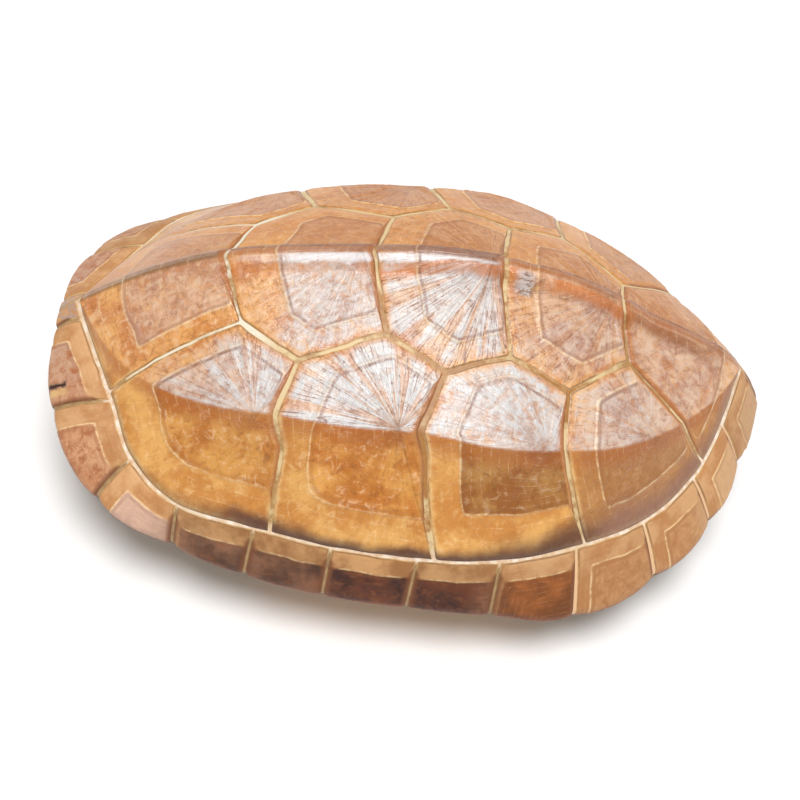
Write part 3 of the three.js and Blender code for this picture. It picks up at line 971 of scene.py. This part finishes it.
class Shader:
    """One material, with places on the shell in millimetres."""

    def __init__(self, name):
        self.material = bpy.data.materials.new(name)
        self.material.use_nodes = True
        self.tree = self.material.node_tree
        self.tree.nodes.clear()
        output = self.tree.nodes.new("ShaderNodeOutputMaterial")
        self.bsdf = self.tree.nodes.new("ShaderNodeBsdfPrincipled")
        self.tree.links.new(self.bsdf.outputs[0], output.inputs["Surface"])
        place = add_node(self.tree, "TexCoord", {}, "Object")
        self.place = add_node(self.tree, "VectorMath", {0: place, "Scale": 1 / MM}, operation="SCALE")
        self.lengthwise = add_node(self.tree, "SeparateXYZ", {0: self.place}, "X")
        self.crosswise = add_node(self.tree, "SeparateXYZ", {0: self.place}, "Y")

    def painted(self, *names):
        """The values that the mesh carries under these names."""
        return [add_node(self.tree, "Attribute", {}, "Fac", attribute_name=name) for name in names]

    def noise(self, scale, detail, roughness, at=None, distortion=0.0):
        inputs = {
            "Vector": at or self.place,
            "Scale": scale,
            "Detail": detail,
            "Roughness": roughness,
            "Distortion": distortion,
        }
        return add_node(self.tree, "TexNoise", inputs, "Fac")

    def stretch(self, low, high, soft=3.0):
        """1 where the shell's length in mm runs from low to high, with soft ends."""
        x = self.lengthwise
        return ramp(x, low - soft, low + soft) * ramp(x, high + soft, high - soft)

    def finish(self, inputs):
        for name, value in inputs.items():
            put(self.bsdf.inputs[name], value)
        return self.material


# ---------------------------------------------------------------- horn
# Dirt with painted shade in the grooves at the seams, and painted shade inside each growth step.
GROOVE_DIRT_AND_SHADE, STEP_SHADE_BROWN = (104, 62, 30), (134, 80, 40)
RING_PALE, MARGIN_PALE = (248, 216, 164), (232, 194, 132)
# White of wear together with a painted highlight of glare, and the white of a painted highlight of glare.
WEAR_AND_GLARE_WHITE, GLARE_WHITE = (215, 214, 214), (238, 232, 232)
COAT_ROUGHNESS, COAT_IOR = 0.17, 1.55


class Horn(Shader):
    """What every scute shares: its own radial and ring coordinates, streaks and blotches."""

    def __init__(self, name):
        super().__init__(name)
        self.growth, self.ring, self.margin = self.painted("growth", "ring", "margin")
        self.shade, self.worn, self.rayed = self.painted("shade", "worn", "rayed")
        turn_x, turn_y, scute = self.painted("turn_x", "turn_y", "scute")
        own = scute * 7.3
        along = combine(turn_x, turn_y, self.growth * 3.0 + own)
        fine_along = combine(turn_x, turn_y, self.growth * 8.0 + own)
        self.plank = self.noise(0.3, 2.0, 0.5, along)
        self.streak = self.noise(0.5, 3.0, 0.6, along)
        self.fine_streak = self.noise(2.2, 2.0, 0.6, fine_along)
        self.crack = ramp(abs(self.noise(0.75, 1.0, 0.5, along) - 0.5), 0.035, 0.01)
        self.blotch = self.noise(0.12, 4.0, 0.6)
        self.patch = ramp(self.blotch, 0.38, 0.62)
        self.mottle = self.noise(0.5, 4.0, 0.65, distortion=0.6)
        self.scratch = self.noise(0.3, 4.0, 0.65, distortion=1.6)
        self.grain = self.noise(3.2, 3.0, 0.6)
        wavy = self.blotch * 0.8 + self.growth * ANNULI
        self.annulus = abs(wavy.math("FRACT", wavy) - 0.5)
        self.inside = ramp(self.ring, 0.4, -0.4)
        self.band = self.ring + self.margin


def ring_lines(horn, colour, crown, strength, faint=0.3):
    """The growth step of every scute: a pale line with painted shade inside it, and fainter rings.

    On the crown whitened by wear and painted glare, the painted shade is the stronger of the two,
    elsewhere the pale line.
    """
    broken = (ramp(horn.mottle, 0.4, 0.58) * 0.6 + 0.3) * ramp(horn.band, 1.6, 3.0)
    worn = horn.worn * crown
    main = ramp(abs(horn.ring), 0.3, 0.05) * broken * strength * (worn * -0.4 + 1.0)
    # Painted shade just inside the pale line, where the step drops.
    step_shade = ramp(abs(horn.ring + 0.7), 0.55, 0.1) * broken * (worn * 0.5 + 0.35)
    colour = mix(step_shade, colour, STEP_SHADE_BROWN)
    lines = ramp(horn.annulus, 0.43, 0.5) * ramp(horn.mottle, 0.4, 0.6) * faint
    return mix(either(main, lines), colour, RING_PALE)


def edge_paint(horn, colour, width=0.8, edge_shadow_colour=(172, 98, 40)):
    """Pale horn along the newest margin, a painted shadow line along the oldest, and dirt with painted
    shade in the groove.
    """
    uneven = ramp(horn.mottle, 0.35, 0.6) * 0.5 + 0.3
    colour = mix(ramp(horn.margin / width, 1.0, 0.15) * uneven, colour, MARGIN_PALE)
    # A painted shadow line along the oldest edge of the scute.
    edge_shadow = ramp(horn.margin, 1.5, 0.5) * ramp(horn.band, 2.6, 1.4) * 0.75
    colour = mix(edge_shadow, colour, edge_shadow_colour)
    # Dirt and painted shade in the groove beside the seam.
    held = ramp(horn.blotch, 0.42, 0.6) * 0.5 + 0.15
    return mix(ramp(abs(horn.margin - 0.3), 0.3, 0.05) * held, colour, GROOVE_DIRT_AND_SHADE)


def horn_finish(horn, colour, coat=0.5, ior=1.45, rough=0.14):
    """The gloss of the horn and its fine relief. Returns the material."""
    height = horn.streak + horn.fine_streak * 0.25 + horn.crack * -0.3 + horn.plank * 0.5
    height = height * (horn.rayed * 0.7 + 0.3) + horn.scratch * 1.2
    normal = bump(height, 0.22, 0.8)
    normal = bump(horn.mottle, 0.3, 0.7, normal)
    normal = bump(horn.grain, 0.06, 0.7, normal)
    return horn.finish({
        "Base Color": colour,
        "Roughness": horn.mottle * 0.3 + rough + horn.grain * 0.14,
        "IOR": ior,
        "Coat Weight": coat,
        "Coat Roughness": COAT_ROUGHNESS,
        "Coat IOR": COAT_IOR,
        "Normal": normal,
        "Coat Normal": normal,
    })


def side_horn(horn):
    """The steep sides of the dome: amber inside the ring and honey outside it."""
    light, dark = ramp(horn.mottle, 0.52, 0.7), ramp(horn.mottle, 0.46, 0.3)
    amber = mix(horn.patch, (192, 114, 34), (226, 160, 78))
    amber = over(amber, (light * 0.7, (244, 192, 142)), (dark * 0.5, (138, 80, 30)))
    honey = mix(horn.patch, (200, 132, 58), (226, 168, 92))
    honey = over(honey, (light * 0.45, (240, 194, 132)), (dark * 0.3, (170, 108, 48)))
    return mix(horn.inside, honey, amber)


def top_horn(horn, worn):
    """The top of the dome: brown horn, white in broken rays and curls between fine cracks, from wear
    together with a painted highlight of glare.
    """
    inside = mix(horn.patch, (190, 118, 60), (218, 156, 100))
    outside = mix(horn.patch, (202, 122, 48), (230, 164, 88))
    light, dark = ramp(horn.mottle, 0.5, 0.66), ramp(horn.mottle, 0.46, 0.32)
    rays = mix(horn.rayed, ramp(horn.scratch, 0.36, 0.52), ramp(horn.plank, 0.44, 0.54)) * 0.66 + 0.34
    patches = ramp(horn.mottle, 0.36, 0.54) * 0.35 + 0.65
    newest = ramp(horn.margin, 0.6, 2.0) * 0.7 + 0.3
    # Wear together with a painted highlight of glare whitens the top in broken rays.
    top = over(
        mix(horn.inside, outside, inside),
        (light * 0.6, (230, 184, 138)),
        (dark * 0.5, (160, 92, 44)),
        (rays * patches * newest * worn * 0.96, WEAR_AND_GLARE_WHITE),
    )
    curls = ramp(abs(horn.scratch - 0.5), 0.02, 0.005) * 0.55
    rings = ramp(horn.annulus, 0.08, 0.01) * 0.4
    lines = either(either(horn.crack * horn.rayed, curls), rings)
    held = ramp(horn.mottle, 0.56, 0.42) * 0.6 + 0.2
    return mix(lines * held, top, (112, 64, 36))


def keel_paint(horn, off_keel, colour):
    """The median keel: brown along its crest, a painted highlight of glare on the shoulder, an orange
    near flank and a far flank darkened with painted shade.
    """
    x = horn.lengthwise
    behind_v1 = ramp(x, -46.0, -41.0)
    # The far flank beyond the crest is darkened with painted shade.
    far_flank_shade = ramp(off_keel, 1.0, 1.8) * ramp(off_keel, 4.6, 3.4) * (behind_v1 * 0.55 + 0.15)
    crest = ramp(off_keel, -1.2, -0.2) * ramp(off_keel, 2.0, 1.2) * 0.65
    crest_colour = mix(horn.stretch(-12.0, 12.0), (164, 98, 52), (132, 88, 74))
    crest_colour = mix(behind_v1, (112, 80, 40), crest_colour)

    # The near flank is orange in patches, below an edge that wanders.
    wander = horn.noise(0.14, 2.0, 0.5, combine(x, 0.0, 0.0)) * 2.2 - 1.1
    wandering = off_keel + wander - ramp(x, -8.0, 12.0) * 1.4
    at_rear = ramp(x, 22.0, 28.0)
    patchy = ramp(horn.noise(0.16, 3.0, 0.6), 0.4, 0.56)
    patchy = either(either(patchy, horn.stretch(-10.0, 12.0) * 0.75), at_rear * 0.9)
    depth = horn.stretch(-40.0, -14.0) * -0.4 + 0.65 + at_rear * 0.15
    near_flank = ramp(wandering, -2.2, -2.9) * ramp(wandering, -5.0, -3.9) * behind_v1
    near_flank = near_flank * patchy * depth * ramp(x, 66.0, 58.0)
    orange = mix(ramp(x, 40.0, 46.0), (206, 116, 42), (150, 86, 40))

    # A scraped patch on the fourth vertebral scute.
    scraped = horn.stretch(17.8, 21.4, 1.2) * ramp(off_keel, -0.6, -1.6) * ramp(off_keel, -5.6, -4.6)
    grey = mix(ramp(horn.scratch, 0.42, 0.56), (96, 80, 74), (200, 196, 196))

    # A painted highlight of glare along the near shoulder of the crest.
    glare_along_keel = horn.stretch(-41.0, 26.0) * 0.2 + horn.stretch(-30.0, 13.0) * 0.65
    shoulder_glare = ramp(off_keel, -0.4, -1.1) * ramp(wandering, -2.8, -2.1) * glare_along_keel
    shoulder_glare = shoulder_glare * (ramp(horn.mottle, 0.35, 0.5) * 0.4 + 0.6)
    return over(
        colour, (far_flank_shade, (96, 56, 44)), (crest, crest_colour), (near_flank, orange),
        (scraped * 0.75, grey), (shoulder_glare, GLARE_WHITE),
    )


def shaded_hem_paint(horn, hem, below, colour):
    """The dark hem along the foot of the dome, partly dark horn and partly painted shade of the hollow
    above the dome seam: faint at the front, widest towards the rear.
    """
    x = horn.lengthwise
    last_costal = ramp(x, 31.0, 37.0)
    reach = ramp(x, 8.0, 34.0) * 4.4 + 3.4 + last_costal * 1.8
    depth = ramp(x, -46.0, -31.0) * 0.5 + 0.4 - last_costal * 0.15
    wave = horn.noise(0.12, 1.5, 0.5) * 5.0 - 2.9 + hem
    paint = mix(ramp(x, 36.0, 44.0), (76, 42, 36), (136, 98, 84))
    # Dark horn together with painted shade of the hollow above the dome seam.
    return mix(ramp(wave / reach, 1.0, 0.15) * below * depth, colour, paint)


def dome_horn():
    """Amber horn: dark inside the ring, honey outside, pale above the lateral keels from wear with a
    painted highlight of glare, with painted shade under the keels and along the foot.
    """
    horn = Horn("dome_horn")
    above, hem, off_keel = horn.painted("above", "hem", "off_keel")
    crown = ramp(above, -0.3, 0.5)
    below = 1.0 - crown

    last_costal = ramp(horn.lengthwise, 32.0, 36.0)
    depth = horn.inside * 1.1 + last_costal * 0.5 - 0.1
    side = over(
        toned((horn.shade - 1.0) * depth + 1.0, side_horn(horn)),
        (last_costal * 0.8, mix(horn.mottle, (150, 92, 38), (200, 138, 78))),
        # A darker band just under the lateral keel: painted shade.
        (ramp(above, -3.4, -0.8) * 0.6, (172, 92, 26)),
    )

    # Wear and painted glare whiten the top on the near side only. The far side of the top keeps plain
    # amber, without painted glare.
    near = ramp(off_keel, 3.0, -3.0) * 0.9 + 0.1
    worn = horn.worn * near * (ramp(horn.growth, 0.05, 0.3) * 0.25 + 0.75)
    newer = horn.stretch(-50.0, -29.0) * (1.0 - horn.inside) * ramp(abs(off_keel), 20.0, 15.0)
    front = ramp(horn.lengthwise, -41.0, -46.0) * (horn.inside * -0.7 + 1.0)
    worn = worn * (newer * -0.8 + 1.0) * (front * -0.8 + 1.0)
    far_colour = mix(horn.inside, (216, 146, 72), (196, 128, 66))
    top = mix((1.0 - near) * 0.6, top_horn(horn, worn), far_colour)

    colour = keel_paint(horn, off_keel, mix(crown, side, top))
    at_foot = ramp(abs(hem - horn.margin), 2.0, 0.6) * below
    colour = ring_lines(horn, colour, crown * near, at_foot * -0.5 + 0.75)
    colour = edge_paint(horn, colour, below * 0.9 + 0.6)
    return horn_finish(horn, shaded_hem_paint(horn, hem, below, colour))


def marginal_horn():
    """Tan over brown: dark chocolate along the bridges, darkened further on the near side with painted
    shade, a painted reddish glow round the edge, golden towards the tail.
    """
    horn = Horn("marginal_horn")
    around, across, side, chip = horn.painted("around", "across", "side", "chip")
    patch = horn.patch
    greyish = ramp(horn.mottle, 0.38, 0.56)
    bridge = ramp(around, 2.6, 3.4) * ramp(around, 7.4, 6.6)
    upper_tan = mix(patch, (188, 130, 78), (212, 162, 112))
    upper = mix(bridge, upper_tan, mix(patch, (156, 106, 60), (200, 150, 98)))

    golden = over(
        mix(ramp(horn.mottle, 0.3, 0.62), (168, 104, 64), (212, 158, 116)),
        (patch * 0.4, (176, 104, 64)),
        (ramp(around, 8.0, 8.2) * 0.75, mix(horn.mottle, (160, 100, 46), (214, 158, 100))),
        (ramp(around, 9.4, 10.2) * 0.5, (222, 182, 134)),
        (ramp(around, 1.9, 2.1) * ramp(around, 3.1, 2.9) * 0.6, (214, 184, 166)),
        (ramp(around, 1.4, 0.2) * greyish * 0.5, (186, 158, 144)),
        (ramp(around, 6.7, 7.2) * ramp(around, 8.1, 7.9), mix(patch, (122, 66, 22), (168, 96, 40))),
    )
    cloudy = ramp(horn.blotch, 0.35, 0.65)
    chocolate = over(
        mix(cloudy, (56, 22, 8), (106, 52, 22)),
        (ramp(around, 5.3, 4.6), mix(cloudy, (84, 50, 30), (146, 100, 70))),
        (ramp(horn.mottle, 0.5, 0.7) * 0.4, (150, 86, 48)),
    )
    # The chocolate horn is stronger on the near side than on the far side: that extra darkness is painted
    # shade.
    lower = mix(bridge * (side * -0.3 + 0.7), golden, chocolate)

    nuchal = ramp(around, 0.02, -0.02) * greyish * 0.8
    # A reddish band round the fold of the edge: painted glow of light reflected up from the floor.
    rim = ramp(across, 1.2, 1.7) * ramp(across, 2.6, 1.9) * 0.6
    colour = over(
        mix(horn.inside, upper, lower),
        (nuchal, (170, 146, 136)),
        (rim, (158, 84, 54)),
        (ramp(across, 1.9, 2.3), mix(horn.mottle, (176, 128, 72), (216, 172, 112))),
    )
    colour = ring_lines(horn, colour, 0.0, bridge * -0.25 + 0.75, bridge * -0.22 + 0.25)
    colour = toned(horn.shade, edge_paint(horn, colour, 0.5, (126, 72, 38)))
    by_chip = ramp(around, 0.79, 0.82) * ramp(around, 0.9, 0.86) * ramp(across, 0.6, 0.85)
    by_chip = by_chip * ramp(side, 0.0, -1.0) * (greyish * 0.5 + 0.2)
    colour = over(colour, (by_chip, (222, 184, 118)), (ramp(chip, 0.1, 0.9), (58, 34, 26)))
    return horn_finish(horn, colour, 0.08, 1.4, 0.34)


def plastron_horn():
    """Honey horn with a dark blotch in the middle of each scute."""
    horn = Horn("plastron_horn")
    honey = mix(horn.blotch, (196, 140, 78), (224, 176, 112))
    dark = mix(horn.mottle, (62, 34, 22), (112, 66, 36))
    colour = mix(ramp(horn.blotch * 0.5 + horn.growth - 0.25, 0.55, 0.38), honey, dark)
    return horn_finish(horn, edge_paint(horn, ring_lines(horn, colour, 0.0, 0.5)))


def seam_and_bone():
    """Cream seam tissue outside and matt bone inside."""
    shader = Shader("seam_and_bone")
    inside, rim, edge = shader.painted("inside", "rim", "edge")
    mottle, blotch = shader.noise(0.5, 4.0, 0.6), shader.noise(0.09, 3.0, 0.6)
    far = ramp(shader.crosswise, 2.0, 8.0)
    front = shader.stretch(-60.0, -32.0)
    middle = shader.stretch(-13.0, 34.0) * (1.0 - far)
    tan = mix(mottle, (148, 106, 58), (196, 156, 100))
    tan = mix(middle, tan, mix(mottle, (140, 88, 34), (196, 142, 80)))
    light = mix(front, (220, 194, 146), (232, 222, 198))
    pale = mottle * 0.5 + shader.noise(0.1, 2.0, 0.5) + front * 0.12 - middle * 0.06 + far * 0.14
    cream = mix(ramp(pale, 0.66, 0.86), tan, light)
    white = mix(ramp(mottle, 0.35, 0.65), (224, 186, 148), (250, 236, 220))
    white = mix(ramp(blotch, 0.45, 0.65) * 0.5, white, (226, 190, 144))
    cross = mix(mottle, (108, 74, 46), (202, 166, 114))
    cross = mix(ramp(shader.lengthwise, 22.0, 32.0), cross, (234, 190, 144))
    bone = mix(blotch, (196, 168, 124), (226, 206, 168))
    bone = mix(ramp(mottle, 0.55, 0.75) * 0.5, bone, (160, 122, 80))
    return shader.finish({
        "Base Color": over(cream, (rim, white), (edge, cross), (inside, bone)),
        "Roughness": inside * 0.3 + 0.45,
        "IOR": 1.5,
        "Normal": bump(mottle, 0.2, 0.6),
    })


# ---------------------------------------------------------------- camera, lights and floor
CAMERA_AZIMUTH, CAMERA_ELEVATION, CAMERA_ROLL = -5.209, 52.186, 9.757  # degrees
CAMERA_DISTANCE = 325.09  # mm from the point that it looks at
CAMERA_TARGET = (-1.76, 0.0, 12.82)
FOCAL_PIXELS, FRAME_PIXELS = 1386.57, 800
SENSOR = 36.0
WORLD_AT_HORIZON, WORLD_OVERHEAD = 0.3, 0.42
KEY_FROM, KEY_SPREAD, KEY_STRENGTH = (0.03, -0.18, 1.17), 31.0, 2.67
FLOOR_REACH = 20.0  # metres


def add_camera():
    angles = (CAMERA_AZIMUTH, CAMERA_ELEVATION, CAMERA_ROLL)
    azimuth, elevation, roll = (math.radians(angle) for angle in angles)
    look = Vector((
        -math.sin(azimuth) * math.cos(elevation),
        math.cos(azimuth) * math.cos(elevation),
        -math.sin(elevation),
    ))
    right = look.cross(Vector((0, 0, 1))).normalized()
    up = right.cross(look)
    tilted_right = right * math.cos(roll) + up * math.sin(roll)
    tilted_up = up * math.cos(roll) - right * math.sin(roll)
    place = Vector(CAMERA_TARGET) * MM - look * CAMERA_DISTANCE * MM
    camera = bpy.data.objects.new("camera", bpy.data.cameras.new("camera"))
    camera.data.sensor_width = SENSOR
    camera.data.lens = SENSOR * FOCAL_PIXELS / FRAME_PIXELS
    camera.data.clip_start = 0.01
    axes = Matrix((tilted_right, tilted_up, -look)).transposed().to_4x4()
    camera.matrix_world = Matrix.Translation(place) @ axes
    bpy.context.collection.objects.link(camera)
    bpy.context.scene.camera = camera


def add_key_light():
    """A wide soft light from high on the viewer's side."""
    light = bpy.data.lights.new("key", "SUN")
    light.angle = math.radians(KEY_SPREAD)
    light.energy = KEY_STRENGTH
    lamp = bpy.data.objects.new("key", light)
    lamp.rotation_euler = Vector(KEY_FROM).to_track_quat("Z", "Y").to_euler()
    bpy.context.collection.objects.link(lamp)


def add_floor():
    mesh = bpy.data.meshes.new("floor")
    r = FLOOR_REACH
    corners = [(-r, -r, 0), (r, -r, 0), (r, r, 0), (-r, r, 0)]
    mesh.from_pydata(corners, [], [(0, 1, 2, 3)])
    floor = bpy.data.objects.new("floor", mesh)
    bpy.context.collection.objects.link(floor)
    material = bpy.data.materials.new("floor_paper")
    material.use_nodes = True
    bsdf = material.node_tree.nodes["Principled BSDF"]
    bsdf.inputs["Base Color"].default_value = (0.9, 0.9, 0.9, 1)
    bsdf.inputs["Roughness"].default_value = 0.9
    mesh.materials.append(material)


def add_studio():
    world = bpy.data.worlds.new("studio")
    world.use_nodes = True
    nodes, links = world.node_tree.nodes, world.node_tree.links
    split = nodes.new("ShaderNodeSeparateXYZ")
    rise = nodes.new("ShaderNodeMapRange")
    links.new(nodes.new("ShaderNodeTexCoord").outputs["Generated"], split.inputs[0])
    links.new(split.outputs["Z"], rise.inputs["Value"])
    rise.inputs["From Max"].default_value = 0.7
    rise.inputs["To Min"].default_value = WORLD_AT_HORIZON
    rise.inputs["To Max"].default_value = WORLD_OVERHEAD
    links.new(rise.outputs["Result"], nodes["Background"].inputs["Strength"])
    nodes["Background"].inputs["Color"].default_value = (1, 1, 1, 1)
    bpy.context.scene.world = world
    add_key_light()
    bpy.context.scene.view_settings.view_transform = "Standard"


add_camera()
add_studio()
add_floor()
horn = dome_horn()
tissue = seam_and_bone()
carapace_body(tissue)
plastron_body(tissue)
vertebral_scutes(horn)
costal_scutes("left", horn)
costal_scutes("right", horn)
marginal_scutes(marginal_horn())
plastron_scutes(plastron_horn())
